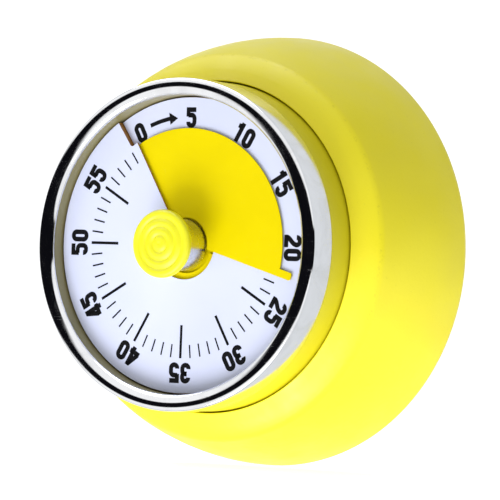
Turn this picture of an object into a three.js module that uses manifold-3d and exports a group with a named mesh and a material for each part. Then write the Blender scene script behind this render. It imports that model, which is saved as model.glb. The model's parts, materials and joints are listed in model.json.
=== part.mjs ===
// A 60-minute clockwork kitchen timer with a magnetic back, as an assembly of separate pieces.
// Millimetres, +Z up, the dial facing -Y and the magnet's rear face on the plane Y = 0.
// Every piece is shaped with the dial's axis along +Z and z measured from the wall outwards;
// the exported group turns them all upright.

import * as THREE from "three";
import { mergeVertices } from "three/addons/utils/BufferGeometryUtils.js";
import Module from "manifold-3d";

const wasm = await Module();
wasm.setup();

// ---- driving dimensions ------------------------------------------------------------------

const TURN = 2 * Math.PI;
const GAP = 0.1; // between pieces that rest on each other
const RUNNING = 0.1; // radial clearance of a shaft in its hole

// Housing.
const RIM_R = 40;
const RIM_Z = 1.5;
const BACK_EDGE_Z = 0.6;
const SHOULDER_R = 35.3;
const SHOULDER_Z = 22.7;
const NECK_R = 30;
const NECK_FOOT_Z = 25.3;
const NECK_TOP_Z = 30.9;
const NECK_BORE_R = 27;
const NECK_GAP = 0.3; // between the neck and the hole in the shoulder
const FLANGE_R = 32.4;
const FLANGE_BACK_Z = 20.4;
const FLANGE_T = 1.1;
const WALL = 2.2;
const COVER_R = 38;
const COVER_BACK_Z = 0.8;
const COVER_FRONT_Z = 3.4;
const COVER_SCREW_R = 34.2; // radius of the circle that the cover's screws sit on
const COVER_SCREW = { headR: 2.4, headZ: 0.95, shankR: 1, shankZ: 2.3, tipZ: 11 };
const MAGNET_R = 14;
const MAGNET_T = 3;
const KEEPER_T = 0.8;
const GRIP_R = [22, 29]; // rubber ring, inner and outer radius
const GRIP_T = 2.1;

// Dial, bezel and disc.
const BEZEL_R = 30.1;
const BEZEL_BACK_Z = 31;
const BEZEL_FRONT_Z = 37.1;
const LIP_R = 27;
const ZERO_ANGLE = (-30 * Math.PI) / 180; // the dial's 0, clockwise from the top
const SHOWN_MINUTES = 22.15;
const DIAL_R = 26.8;
const DIAL_HOLE_R = 6.2;
const DIAL_T = 0.35;
const DIAL_LOW_Z = 32.4; // middle of the dial sheet just clockwise of its 0
const RISE = 1.2; // climb of the dial and the disc in one clockwise turn
const DIAL_START = (-4.6 * Math.PI) / 180; // lower end of the sheet, clockwise from its 0
const DIAL_SPAN = (363.7 * Math.PI) / 180; // the upper end lies over the lower one
const NOTCH_AT = (-4.9 * Math.PI) / 180; // upper end outside the disc, cut back to here
const DISC_R = 21.2;
const DISC_HOLE_R = 5;
const DISC_T = 0.25;
const DISC_SPAN = TURN - (2 * Math.PI) / 180;
const EDGE_SKEW = (3.2 * Math.PI) / 180; // the disc's leading edge runs forward as it goes out
const EDGE_PIVOT_R = 13.3; // where the leading edge crosses the radius of the time shown
const TAB_R = 23.8;
const TAB_W = 1.4;
const SEAT_R = [24.9, 26.9];
const SEAT_GAP = (0.4 * Math.PI) / 180; // between the ramp's ends and the dial's lower end
const CARRIER_R = 28.1;
const CARRIER_BACK_Z = 29.4;
const CARRIER_FRONT_Z = 31.2;
const CARRIER_RIM_R = 27.1; // inside of the wall that stands round the dial
const CARRIER_RIM_Z = 35.9;

// Knob.
const KNOB_R = 6.15;
const KNOB_BACK_Z = 39.9;
const KNOB_FRONT_Z = 41.5;
const STEM_R = 4.7;
const STEM_BACK_Z = 33.2;
const HUB_R = [1.8, 5.6];
const HUB_Z = [31.7, 32.05];

// Movement.
const REAR_PLATE_Z = 13.6;
const REAR_PLATE_R = 22;
const FRONT_PLATE_Z = 25.6;
const FRONT_PLATE_R = 25.2;
const PLATE_T = 1;
const PILLAR_R = 1.4;
const PILLAR_CIRCLE_R = 19.5;
const PILLAR_START = (176 * Math.PI) / 180;
const SCREW_CIRCLE_R = 22.8;
const SCREW_START = (11 * Math.PI) / 180;
const PLATE_SCREW = { headR: 2, headZ: 24.4, shankR: 0.8, shankZ: 25.5, tipZ: 29 };
const PLATE_SCREW_HOLE_R = 1;
const BUSH_R = 2.8;
const BUSH_TOP_Z = 28.2;
const BUSH_HOLE_R = 3;
const PIVOT_R = 0.5;
const ARBOR_R = 0.8;
const MAIN_ARBOR_R = 2;
const MAIN_PIVOT_R = 1.2;
const SPINDLE_R = 1.6;
const HAMMER_ARBOR_R = 0.9;
const HAMMER_ARBOR_Z = [11.4, 26.9];
const WHEEL_T = 0.8;
const PINION_T = 2;

// Gear train, from the dial's arbor to the escape wheel.
const GREAT = { teeth: 48, module: 0.4, z: 22.6 };
const SECOND = { teeth: 45, module: 0.35, leaves: 8, z: 19.2, pinionZ: 22, turn: 150 };
const THIRD = { teeth: 40, module: 0.35, leaves: 8, z: 20.8, pinionZ: 18.7, turn: -100 };
const ESCAPE = { teeth: 15, leaves: 8, tipR: 4.6, rootR: 3.5, z: 16.2, pinionZ: 20.3, turn: -60 };
const BALANCE = { r: 5.6, z: 19.4, fromEscape: 7, turn: -10 };
const RATCHET = { teeth: 16, tipR: 4.3, rootR: 3.6, z: [23.6, 24.2] };
const CAM = { lowR: 2.7, highR: 3.4, z: [20, 20.9] };
const HAMMER = { fromCentre: 12.5, turn: 20 };

// Springs, from their inner end outwards, and the posts that hold their outer ends.
const MAINSPRING = { inner: 2.7, outer: 7.9, turns: 4, t: 0.3, endTurn: 60, z: [14.9, 18.5] };
const SPRING_POST = { r: 0.7, fromCentre: 8.9, z: [14.7, 19] };
const HAIRSPRING = { inner: 1.2, outer: 3.6, turns: 4, t: 0.14, endTurn: -90, z: [21, 21.4] };
const STUD = { r: 0.5, fromBalance: 4.5, z: [20.8, 25.5] };

// Bell.
const BELL_R = 21;
const BELL_RIM_Z = 12.8;
const BELL_TOP_Z = 6.3;
const BELL_T = 0.7;
const BELL_HOLE_R = 1.4;
const BELL_POST = { innerR: 1.3, outerR: 2.4, topZ: 11 };
const BELL_SCREW = { headR: 2.2, headZ: 5.3, shankR: 1.05, shankZ: 6.2, tipZ: 12.3 };
const BRIDGE = { width: 5, half: 10, z: [11.1, 12.1], footT: 1, footZ: [11.4, 13.4] };

// ---- shapes ------------------------------------------------------------------------------

const degrees = (a) => (a * Math.PI) / 180;

function pointAt(radius, angle) {
  return new THREE.Vector2(radius * Math.cos(angle), radius * Math.sin(angle));
}

// A closed geometry as a manifold solid, and back.
function solidOf(geometry) {
  const bare = geometry.clone();
  bare.deleteAttribute("normal");
  bare.deleteAttribute("uv");
  const merged = mergeVertices(bare, 1e-4);
  return new wasm.Manifold(
    new wasm.Mesh({
      numProp: 3,
      vertProperties: new Float32Array(merged.attributes.position.array),
      triVerts: new Uint32Array(merged.index.array),
    }),
  );
}

function geometryOf(solid) {
  const mesh = solid.getMesh();
  const geometry = new THREE.BufferGeometry();
  geometry.setAttribute("position", new THREE.BufferAttribute(mesh.vertProperties, 3));
  geometry.setIndex(new THREE.BufferAttribute(mesh.triVerts, 1));
  return geometry;
}

function joined(base, ...others) {
  return geometryOf(others.reduce((sum, g) => sum.add(solidOf(g)), solidOf(base)));
}

function cut(base, ...tools) {
  return geometryOf(tools.reduce((rest, g) => rest.subtract(solidOf(g)), solidOf(base)));
}

// Turned about the dial's axis: profile points are [radius, z], anticlockwise.
function turned(profile, segments = 32) {
  const points = profile.map(([r, z]) => new THREE.Vector2(r, z));
  return new THREE.LatheGeometry(points, segments).rotateX(Math.PI / 2);
}

function tube(innerR, outerR, z0, z1, segments = 32) {
  return turned([[innerR, z0], [outerR, z0], [outerR, z1], [innerR, z1], [innerR, z0]], segments);
}

function rod(radius, z0, z1, at = new THREE.Vector2(), segments = 16) {
  const cylinder = new THREE.CylinderGeometry(radius, radius, z1 - z0, segments);
  return cylinder.rotateX(Math.PI / 2).translate(at.x, at.y, (z0 + z1) / 2);
}

// A shaft of several diameters: each step is [radius, z it ends at], starting from z.
function shaft(z, steps, at = new THREE.Vector2(), segments = 12) {
  const profile = [[0, z]];
  let bottom = z;
  for (const [radius, top] of steps) {
    profile.push([radius, bottom], [radius, top]);
    bottom = top;
  }
  profile.push([0, bottom]);
  return turned(profile, segments).translate(at.x, at.y, 0);
}

function hole(radius, at = new THREE.Vector2()) {
  return new THREE.Path().absarc(at.x, at.y, radius, 0, TURN, true);
}

// A flat piece cut from sheet: an outline with holes, from z0 to z1.
function sheet(outline, holes, z0, z1, curveSegments = 8) {
  const shape = new THREE.Shape(outline);
  shape.holes.push(...holes);
  const options = { depth: z1 - z0, bevelEnabled: false, curveSegments };
  return new THREE.ExtrudeGeometry(shape, options).translate(0, 0, z0);
}

function circle(radius, at = new THREE.Vector2(), sides = 32) {
  return Array.from({ length: sides }, (_, i) => pointAt(radius, (TURN * i) / sides).add(at));
}

// A straight arm with round ends, from point a to point b.
function arm(a, b, halfWidth) {
  const along = b.clone().sub(a).angle();
  const end = (centre, from) =>
    Array.from({ length: 7 }, (_, i) =>
      pointAt(halfWidth, from + (Math.PI * i) / 6).add(centre),
    );
  return [...end(b, along - Math.PI / 2), ...end(a, along + Math.PI / 2)];
}

// Half the angle that an involute tooth takes up at a radius; backlash narrows it.
function toothHalfAngle(teeth, pitchR, radius) {
  const PRESSURE = degrees(20);
  const BACKLASH = 0.78;
  const involute = (a) => Math.tan(a) - a;
  const baseR = pitchR * Math.cos(PRESSURE);
  const angle = radius > baseR ? Math.acos(baseR / radius) : 0;
  return (Math.PI / (2 * teeth)) * BACKLASH + involute(PRESSURE) - involute(angle);
}

// A gear's outline with one tooth pointing at the angle phase.
function gear(teeth, module, phase, centre, levels = 2) {
  const ADDENDUM = 0.8;
  const DEDENDUM = 1.25;
  const pitchR = (teeth * module) / 2;
  const rootR = pitchR - DEDENDUM * module;
  const tipR = pitchR + ADDENDUM * module;
  const flank = Array.from({ length: levels }, (_, i) => rootR + ((tipR - rootR) * i) / (levels - 1));
  const outline = [];
  for (let tooth = 0; tooth < teeth; tooth++) {
    const middle = phase + (TURN * tooth) / teeth;
    for (const r of flank)
      outline.push(pointAt(r, middle - toothHalfAngle(teeth, pitchR, r)).add(centre));
    for (const r of [...flank].reverse())
      outline.push(pointAt(r, middle + toothHalfAngle(teeth, pitchR, r)).add(centre));
  }
  return outline;
}

// Saw-toothed outline, as of a ratchet or an escape wheel.
function sawWheel(teeth, tipR, rootR, centre) {
  const outline = [];
  for (let tooth = 0; tooth < teeth; tooth++) {
    const angle = (TURN * tooth) / teeth;
    outline.push(pointAt(rootR, angle).add(centre), pointAt(tipR, angle + 0.02).add(centre));
  }
  return outline;
}

// A flat spiral spring: a band of even thickness, wound outwards round the point at.
function spiral({ inner, outer, turns, t, endTurn, z }, at) {
  const PER_TURN = 14;
  const steps = turns * PER_TURN;
  const edge = (offset) =>
    Array.from({ length: steps + 1 }, (_, i) => {
      const radius = inner + ((outer - inner) * i) / steps + offset;
      return pointAt(radius, degrees(endTurn) - ((steps - i) * TURN) / PER_TURN).add(at);
    });
  return sheet([...edge(t / 2), ...edge(-t / 2).reverse()], [], ...z);
}

// A sheet on the dial's screw surface. It runs clockwise from start by span, both angles from
// the dial's 0; lowZ and highZ give its faces from the angle, so a face can be flat or climb.
function screwSheet(innerR, outerR, start, span, lowZ, highZ) {
  const steps = Math.ceil(span / degrees(7.5));
  const box = new THREE.BoxGeometry(1, 1, 1, steps, 1, 1);
  const position = box.attributes.position;
  for (let i = 0; i < position.count; i++) {
    const angle = start + span * (position.getX(i) + 0.5);
    const radius = innerR + (outerR - innerR) * (position.getY(i) + 0.5);
    const z = position.getZ(i) > 0 ? highZ(angle) : lowZ(angle);
    const turn = ZERO_ANGLE + angle;
    position.setXYZ(i, radius * Math.sin(turn), radius * Math.cos(turn), z);
  }
  return box;
}

const dialZ = (angle) => DIAL_LOW_Z + (RISE * angle) / TURN;
const discZ = (angle) => dialZ(angle) + RISE / 2;

// ---- places of the arbors ----------------------------------------------------------------

const centre = new THREE.Vector2();
const pitchRadius = (teeth, module) => (teeth * module) / 2;

function nextArbor(from, distance, turn) {
  return pointAt(distance, degrees(turn)).add(from);
}

const meshDistance = (wheel, leaves) => pitchRadius(wheel.teeth + leaves, wheel.module);
const secondAt = nextArbor(centre, meshDistance(GREAT, SECOND.leaves), SECOND.turn);
const thirdAt = nextArbor(secondAt, meshDistance(SECOND, THIRD.leaves), THIRD.turn);
const escapeAt = nextArbor(thirdAt, meshDistance(THIRD, ESCAPE.leaves), ESCAPE.turn);
const balanceAt = nextArbor(escapeAt, BALANCE.fromEscape, BALANCE.turn);
const hammerAt = nextArbor(centre, HAMMER.fromCentre, HAMMER.turn);
const springPostAt = nextArbor(centre, SPRING_POST.fromCentre, MAINSPRING.endTurn);
const studAt = nextArbor(balanceAt, STUD.fromBalance, HAIRSPRING.endTurn);

// A toothed wheel with the tooth that faces the next arbor on the line between the two.
function wheel({ teeth, module, z }, at, nextTurn, boreR) {
  const outline = gear(teeth, module, degrees(nextTurn), at);
  return sheet(outline, [hole(boreR, at)], z, z + WHEEL_T);
}

// A pinion on its own arbor, with a gap between leaves facing the wheel that drives it.
function pinion({ leaves, pinionZ, turn }, module, at) {
  const facing = degrees(turn) + Math.PI + Math.PI / leaves;
  const body = sheet(gear(leaves, module, facing, at, 3), [], pinionZ, pinionZ + PINION_T);
  return joined(body, pivotedShaft(at));
}

// A shaft between the two plates, with a thin pivot in each.
function pivotedShaft(at) {
  const steps = [
    [PIVOT_R, REAR_PLATE_Z + PLATE_T + GAP],
    [ARBOR_R, FRONT_PLATE_Z - GAP],
    [PIVOT_R, FRONT_PLATE_Z + PLATE_T + GAP],
  ];
  return shaft(REAR_PLATE_Z - 2 * GAP, steps, at);
}

const ringOf = (count, radius, start) =>
  Array.from({ length: count }, (_, i) => pointAt(radius, start + (TURN * i) / count));
const coverScrews = ringOf(3, COVER_SCREW_R, Math.PI / 2);
const plateScrews = ringOf(3, SCREW_CIRCLE_R, SCREW_START);
const pillars = ringOf(4, PILLAR_CIRCLE_R, PILLAR_START);

// ---- housing -----------------------------------------------------------------------------

// Points of the flared side, from the rim up to the shoulder, moved inwards by inset.
function side(inset, rimZ, steps) {
  const KNEE_IN = 0.8;
  const KNEE_HEIGHT = 0.6; // share of the shoulder's height
  const SLANT = 0.6; // how far the top end drops for each millimetre of inset
  const curve = new THREE.QuadraticBezierCurve(
    new THREE.Vector2(RIM_R - inset, rimZ),
    new THREE.Vector2(RIM_R - KNEE_IN - inset, SHOULDER_Z * KNEE_HEIGHT),
    new THREE.Vector2(SHOULDER_R - inset, SHOULDER_Z - inset * SLANT),
  );
  return curve.getPoints(steps).map((p) => [p.x, p.y]);
}

function bodyShell() {
  const POST_R = 2.8;
  const POST_TOP_Z = 15;
  const POST_HOLE_R = 1.15;
  const HOLE_DEPTH_LEFT = 2;
  const LEDGE_Z = COVER_FRONT_Z + GAP;
  const EDGE_ROUND = 0.5;
  const FOOT_ROUND = 0.3;
  const SHOULDER_STEPS = [[1.2, 0.9], [3, 1.6]]; // inwards and out from the shoulder's edge
  const coverBore = COVER_R + 3 * GAP;
  const outside = [
    [coverBore, BACK_EDGE_Z],
    [RIM_R - EDGE_ROUND, BACK_EDGE_Z],
    ...side(0, RIM_Z, 4),
    ...SHOULDER_STEPS.map(([inwards, out]) => [SHOULDER_R - inwards, SHOULDER_Z + out]),
    [NECK_R + NECK_GAP + FOOT_ROUND, NECK_FOOT_Z],
    [NECK_R + NECK_GAP, NECK_FOOT_Z - FOOT_ROUND],
  ];
  const [kneeIn, kneeOut] = SHOULDER_STEPS[1];
  const inside = [
    [NECK_R + NECK_GAP, NECK_FOOT_Z - WALL],
    [SHOULDER_R - kneeIn, SHOULDER_Z + kneeOut - WALL - FOOT_ROUND],
    ...side(WALL, LEDGE_Z, 3).reverse(),
    [coverBore, LEDGE_Z],
    [coverBore, BACK_EDGE_Z],
  ];
  const posts = coverScrews.map((at) => rod(POST_R, LEDGE_Z, POST_TOP_Z, at, 10));
  const holes = coverScrews.map((at) => rod(POST_HOLE_R, 0, POST_TOP_Z - HOLE_DEPTH_LEFT, at, 8));
  return cut(joined(turned([...outside, ...inside], 40), ...posts), ...holes);
}

// Sleeve that carries the dial and the bezel; its flange sits behind the shoulder.
function neckSleeve() {
  const seatR = CARRIER_R + 3 * GAP;
  const profile = [
    [NECK_BORE_R, FLANGE_BACK_Z],
    [FLANGE_R, FLANGE_BACK_Z],
    [FLANGE_R, FLANGE_BACK_Z + FLANGE_T],
    [NECK_R, FLANGE_BACK_Z + FLANGE_T],
    [NECK_R, NECK_TOP_Z],
    [seatR, NECK_TOP_Z],
    [seatR, CARRIER_BACK_Z - GAP],
    [NECK_BORE_R, CARRIER_BACK_Z - GAP],
    [NECK_BORE_R, FLANGE_BACK_Z],
  ];
  return turned(profile, 40);
}

function backCover() {
  const POCKET_R = MAGNET_R + 2 * GAP;
  const FLOOR_Z = MAGNET_T + KEEPER_T + 3 * GAP;
  const FLOOR_T = 1;
  const POCKET_WALL = 2;
  const [gripIn, gripOut] = [GRIP_R[0] - 2 * GAP, GRIP_R[1] + 2 * GAP];
  const profile = [
    [0, FLOOR_Z],
    [POCKET_R, FLOOR_Z],
    [POCKET_R, COVER_BACK_Z],
    [gripIn, COVER_BACK_Z],
    [gripIn, GRIP_T + GAP],
    [gripOut, GRIP_T + GAP],
    [gripOut, COVER_BACK_Z],
    [COVER_R, COVER_BACK_Z],
    [COVER_R, COVER_FRONT_Z],
    [POCKET_R + POCKET_WALL, COVER_FRONT_Z],
    [POCKET_R + POCKET_WALL, FLOOR_Z + FLOOR_T],
    [0, FLOOR_Z + FLOOR_T],
  ];
  const { headR, shankR, shankZ } = COVER_SCREW;
  const bores = coverScrews.flatMap((at) => [
    rod(headR + 3 * GAP, 0, shankZ + GAP, at, 12),
    rod(shankR + 2 * GAP, 0, COVER_FRONT_Z + GAP, at, 8),
  ]);
  return cut(turned(profile, 40), ...bores);
}

// A screw as a head and a plain shank; its head faces the wall.
function screw({ headR, headZ, shankR, shankZ, tipZ }, at) {
  return shaft(headZ, [[headR, shankZ], [shankR, tipZ]], at);
}

function bezelRing() {
  const LIP_ROUND = 0.5;
  const LIP_EDGE = 0.8;
  const corner = Array.from({ length: 4 }, (_, i) => {
    const angle = (Math.PI / 2) * (i / 3);
    return [
      BEZEL_R - LIP_ROUND * (1 - Math.cos(angle)),
      BEZEL_FRONT_Z - LIP_ROUND * (1 - Math.sin(angle)),
    ];
  });
  const seatR = CARRIER_R + GAP;
  const profile = [
    [seatR, BEZEL_BACK_Z],
    [BEZEL_R, BEZEL_BACK_Z],
    ...corner,
    [LIP_R + LIP_ROUND, BEZEL_FRONT_Z - LIP_EDGE / 2],
    [LIP_R, BEZEL_FRONT_Z - LIP_EDGE],
    [LIP_R + GAP, CARRIER_RIM_Z + GAP],
    [seatR, CARRIER_RIM_Z + GAP],
    [seatR, BEZEL_BACK_Z],
  ];
  return turned(profile, 40);
}

// ---- dial, disc and knob -----------------------------------------------------------------

// Dish behind and round the dial, with posts for the movement's screws.
function dialCarrier() {
  const POST_R = 2.2;
  const CENTRE_R = 3.4;
  const POST_HOLE_R = 0.95;
  const POST_IN_DISH = 1;
  const POST_BACK_Z = FRONT_PLATE_Z + PLATE_T + GAP;
  const profile = [
    [CENTRE_R, CARRIER_BACK_Z],
    [CARRIER_R, CARRIER_BACK_Z],
    [CARRIER_R, CARRIER_RIM_Z],
    [CARRIER_RIM_R, CARRIER_RIM_Z],
    [CARRIER_RIM_R, CARRIER_FRONT_Z],
    [CENTRE_R, CARRIER_FRONT_Z],
    [CENTRE_R, CARRIER_BACK_Z],
  ];
  const posts = plateScrews.map((at) =>
    rod(POST_R, POST_BACK_Z, CARRIER_BACK_Z + POST_IN_DISH, at, 10),
  );
  const holes = plateScrews.map((at) => rod(POST_HOLE_R, 0, CARRIER_BACK_Z - GAP, at, 8));
  return cut(joined(turned(profile, 40), ...posts), ...holes);
}

// Ramp ring that the climbing dial rests on.
function dialSeat() {
  const low = () => CARRIER_FRONT_Z + GAP;
  const high = (angle) => dialZ(angle) - DIAL_T / 2 - GAP;
  return screwSheet(...SEAT_R, DIAL_START + SEAT_GAP, TURN - 2 * SEAT_GAP, low, high);
}

// The dial is a climbing sheet whose ends overlap, with the disc passing between them. Outside
// the disc the upper end is cut back, which leaves the pointer tab in view at 0.
function dialPlate() {
  const low = (angle) => dialZ(angle) - DIAL_T / 2;
  const high = (angle) => dialZ(angle) + DIAL_T / 2;
  const whole = screwSheet(DIAL_HOLE_R, DIAL_R, DIAL_START, DIAL_SPAN, low, high);
  const NOTCH_W = 4; // wider than the strip that it takes off
  const NOTCH_L = 2 * (DIAL_R - DISC_R);
  const notch = new THREE.BoxGeometry(NOTCH_W, NOTCH_L, 2 * DIAL_T)
    .translate(NOTCH_W / 2, DISC_R + GAP + NOTCH_L / 2, dialZ(TURN + NOTCH_AT))
    .rotateZ(-ZERO_ANGLE - NOTCH_AT);
  return cut(whole, notch);
}

// The coloured disc: its leading edge is at the time shown, the rest follows back through the
// dial's slit, above the dial before the slit and under it beyond.
function timerDisc() {
  const leading = (TURN * SHOWN_MINUTES) / 60;
  const SPARE = (2.4 * Math.PI) / 180; // trimmed off along the leading edge
  const TRIM_W = 2;
  const ROOT = 1; // length of the tab that lies on the disc
  const low = (angle) => discZ(angle) - DISC_T / 2;
  const high = (angle) => discZ(angle) + DISC_T / 2;
  const start = leading - DISC_SPAN;
  const disc = screwSheet(DISC_HOLE_R, DISC_R, start, DISC_SPAN + SPARE, low, high);
  const onEdge = (width, length, thickness, side, middleR) =>
    new THREE.BoxGeometry(width, length, thickness)
      .translate((side * width) / 2, middleR - EDGE_PIVOT_R, 0)
      .rotateZ(-EDGE_SKEW)
      .translate(0, EDGE_PIVOT_R, discZ(leading))
      .rotateZ(-ZERO_ANGLE - leading);
  const trim = onEdge(TRIM_W, DISC_R, 4 * DISC_T, 1, (DISC_HOLE_R + DISC_R) / 2);
  const tabLength = TAB_R - DISC_R + ROOT;
  const tab = onEdge(TAB_W, tabLength, DISC_T, -1, TAB_R - tabLength / 2);
  return joined(cut(disc, trim), tab);
}

function knobCap() {
  const RIDGES = 4;
  const CROWN = 0.35;
  const RIDGE_H = 0.25;
  const EDGE_ROUND = 0.2;
  const step = KNOB_R / (2 * RIDGES);
  const front = [];
  for (let i = 2 * RIDGES - 1; i >= 0; i--) {
    const radius = i * step;
    const dome = CROWN * (radius / KNOB_R) ** 2;
    const groove = i % 2 || i === 0 ? 0 : RIDGE_H;
    front.push([radius, KNOB_FRONT_Z - dome - groove]);
  }
  const profile = [
    [0, KNOB_BACK_Z],
    [KNOB_R - EDGE_ROUND, KNOB_BACK_Z],
    [KNOB_R, KNOB_BACK_Z + EDGE_ROUND],
    [KNOB_R, KNOB_FRONT_Z - CROWN - RIDGE_H],
    ...front,
  ];
  return turned(profile, 28);
}

function knobStem() {
  return tube(SPINDLE_R + 3 * GAP, STEM_R, STEM_BACK_Z, KNOB_BACK_Z - GAP, 24);
}

// ---- movement ----------------------------------------------------------------------------

function frontPlate() {
  const holes = [
    hole(BUSH_HOLE_R),
    ...[secondAt, thirdAt, escapeAt, balanceAt].map((at) => hole(PIVOT_R + RUNNING, at)),
    hole(HAMMER_ARBOR_R + RUNNING, hammerAt),
    ...plateScrews.map((at) => hole(PLATE_SCREW_HOLE_R, at)),
  ];
  const outline = circle(FRONT_PLATE_R, centre, 36);
  return sheet(outline, holes, FRONT_PLATE_Z, FRONT_PLATE_Z + PLATE_T, 5);
}

function rearPlate() {
  const holes = [
    hole(MAIN_PIVOT_R + RUNNING),
    ...[secondAt, thirdAt, escapeAt, balanceAt].map((at) => hole(PIVOT_R + RUNNING, at)),
    hole(HAMMER_ARBOR_R + RUNNING, hammerAt),
  ];
  const outline = circle(REAR_PLATE_R, centre, 36);
  return sheet(outline, holes, REAR_PLATE_Z, REAR_PLATE_Z + PLATE_T, 5);
}

function pillar(at) {
  const low = REAR_PLATE_Z + PLATE_T + GAP;
  const high = FRONT_PLATE_Z - GAP;
  const COLLAR = 1.2;
  const WAIST = 0.4;
  const steps = [[PILLAR_R, low + COLLAR], [PILLAR_R - WAIST, high - COLLAR], [PILLAR_R, high]];
  return shaft(low, steps, at);
}

function mainArbor() {
  const steps = [
    [MAIN_PIVOT_R, REAR_PLATE_Z + PLATE_T + GAP],
    [MAIN_ARBOR_R, FRONT_PLATE_Z - 4 * GAP],
    [SPINDLE_R, KNOB_BACK_Z - 3 * GAP],
  ];
  return shaft(REAR_PLATE_Z - 3 * GAP, steps, centre, 16);
}

// A snail whose step lets the hammer's lever drop as the disc comes to zero.
function alarmCam() {
  const STEPS = 20;
  const { lowR, highR, z } = CAM;
  const outline = Array.from({ length: STEPS }, (_, i) =>
    pointAt(lowR + ((highR - lowR) * i) / (STEPS - 1), (TURN * i) / STEPS),
  );
  return sheet(outline, [hole(MAIN_ARBOR_R + RUNNING)], ...z);
}

function ratchetWheel() {
  const { teeth, tipR, rootR, z } = RATCHET;
  const outline = sawWheel(teeth, tipR, rootR, centre);
  return sheet(outline, [hole(MAIN_ARBOR_R + RUNNING)], ...z);
}

function clickPawl() {
  const HALF_WIDTH = 0.6;
  const heel = pointAt(7.4, degrees(300));
  const nose = pointAt(5.3, degrees(330));
  return sheet(arm(heel, nose, HALF_WIDTH), [], ...RATCHET.z);
}

function escapeWheel() {
  const { teeth, tipR, rootR, z } = ESCAPE;
  const outline = sawWheel(teeth, tipR, rootR, escapeAt);
  return sheet(outline, [hole(ARBOR_R + RUNNING, escapeAt)], z, z + WHEEL_T);
}

// The balance's staff with the notched roller that faces the escape wheel's teeth.
function balanceStaff() {
  const ROLLER_R = 2;
  const NOTCH_R = 0.9;
  const MARGIN = 0.3; // of the roller beyond each face of the escape wheel
  const [low, high] = [ESCAPE.z - MARGIN, ESCAPE.z + WHEEL_T + MARGIN];
  const roller = rod(ROLLER_R, low, high, balanceAt, 16);
  const facing = degrees(BALANCE.turn) + Math.PI;
  const notch = rod(NOTCH_R, low - GAP, high + GAP, pointAt(ROLLER_R, facing).add(balanceAt), 10);
  return joined(cut(roller, notch), pivotedShaft(balanceAt));
}

// A rim with one bar across it.
function balanceWheel() {
  const { r, z } = BALANCE;
  const RIM = 0.8;
  const BAR_HALF = 0.9;
  const STEPS = 10;
  const halfMoon = (start) => {
    const open = r - RIM;
    const lift = Math.asin(BAR_HALF / open);
    const points = Array.from({ length: STEPS + 1 }, (_, i) =>
      pointAt(open, start + lift + ((Math.PI - 2 * lift) * i) / STEPS).add(balanceAt),
    );
    return new THREE.Path(points.reverse());
  };
  const rim = sheet(circle(r, balanceAt, 28), [halfMoon(0), halfMoon(Math.PI)], z, z + WHEEL_T);
  const BOSS_R = 1.5;
  const boss = rod(BOSS_R, z, z + WHEEL_T, balanceAt, 12);
  const bore = rod(ARBOR_R + RUNNING, z - GAP, z + WHEEL_T + GAP, balanceAt, 12);
  return cut(joined(rim, boss), bore);
}

// ---- bell and hammer ---------------------------------------------------------------------

// The bell's profile points are shares of its radius and depth, then how much of the wall's
// thickness each moves inwards and down on the inner face.
function bellDome() {
  const CURVE = [[0.67, 0.05, 0, 1], [0.88, 0.2, 0.6, 0.8], [0.97, 0.5, 1, 0], [1, 1, 1, 0]];
  const depth = BELL_RIM_Z - BELL_TOP_Z;
  const wall = (inset) => [
    [BELL_HOLE_R, BELL_TOP_Z + inset],
    ...CURVE.map(([r, z, inwards, down]) => [
      BELL_R * r - inset * inwards,
      BELL_TOP_Z + depth * z + inset * down,
    ]),
  ];
  const outside = wall(0);
  return turned([...outside, ...wall(BELL_T).reverse(), outside[0]], 32);
}

function bellPost() {
  const { innerR, outerR, topZ } = BELL_POST;
  return tube(innerR, outerR, BELL_TOP_Z + BELL_T + GAP, topZ, 16);
}

// Strap with two feet under the rear plate, which carries the bell's post.
function bellBridge() {
  const { width, half, z, footT, footZ } = BRIDGE;
  const block = (length, [low, high], y) =>
    new THREE.BoxGeometry(width, length, high - low).translate(0, y, (low + high) / 2);
  const feet = [-1, 1].map((way) => block(footT, footZ, way * (half - footT / 2)));
  const bore = rod(BELL_SCREW.shankR + 2 * GAP, z[0] - GAP, z[1] + GAP, centre, 12);
  return cut(joined(block(2 * half, z, 0), ...feet), bore);
}

// Tail that the cam lifts; its round end stands just clear of the cam's highest point.
function hammerLever() {
  const HALF_WIDTH = 1.6;
  const CLEARANCE = 0.25;
  const tip = pointAt(CAM.highR + CLEARANCE + HALF_WIDTH, degrees(17));
  const bore = hole(HAMMER_ARBOR_R + RUNNING, hammerAt);
  return sheet(arm(hammerAt, tip, HALF_WIDTH), [bore], ...CAM.z);
}

// Bar with a striker that stands inside the bell's rim.
function hammerHead() {
  const BAR = { halfWidth: 0.9, t: 0.8, z: 10.4 };
  const STRIKER = { r: 1.2, length: 2.4, at: new THREE.Vector2(17.9, 1.7) };
  const bar = sheet(arm(hammerAt, STRIKER.at, BAR.halfWidth), [], BAR.z, BAR.z + BAR.t);
  return joined(bar, rod(STRIKER.r, BAR.z, BAR.z + STRIKER.length, STRIKER.at, 12));
}

// ---- assembly ----------------------------------------------------------------------------

const FINISHES = {
  yellow_paint: { color: 0xf4e92a, roughness: 0.45, metalness: 0 },
  yellow_plastic: { color: 0xf7e300, roughness: 0.35, metalness: 0 },
  white_dial: { color: 0xf2f3fb, roughness: 0.5, metalness: 0 },
  black_plastic: { color: 0x1c1c1e, roughness: 0.6, metalness: 0 },
  chrome: { color: 0xd9dadd, roughness: 0.08, metalness: 1 },
  brass: { color: 0xc2a253, roughness: 0.35, metalness: 1 },
  steel: { color: 0x9a9ca0, roughness: 0.35, metalness: 1 },
  magnet: { color: 0x3a3b3f, roughness: 0.5, metalness: 0.4 },
  rubber: { color: 0x161616, roughness: 0.9, metalness: 0 },
};

const timer = new THREE.Group();
timer.rotation.x = Math.PI / 2;

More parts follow.
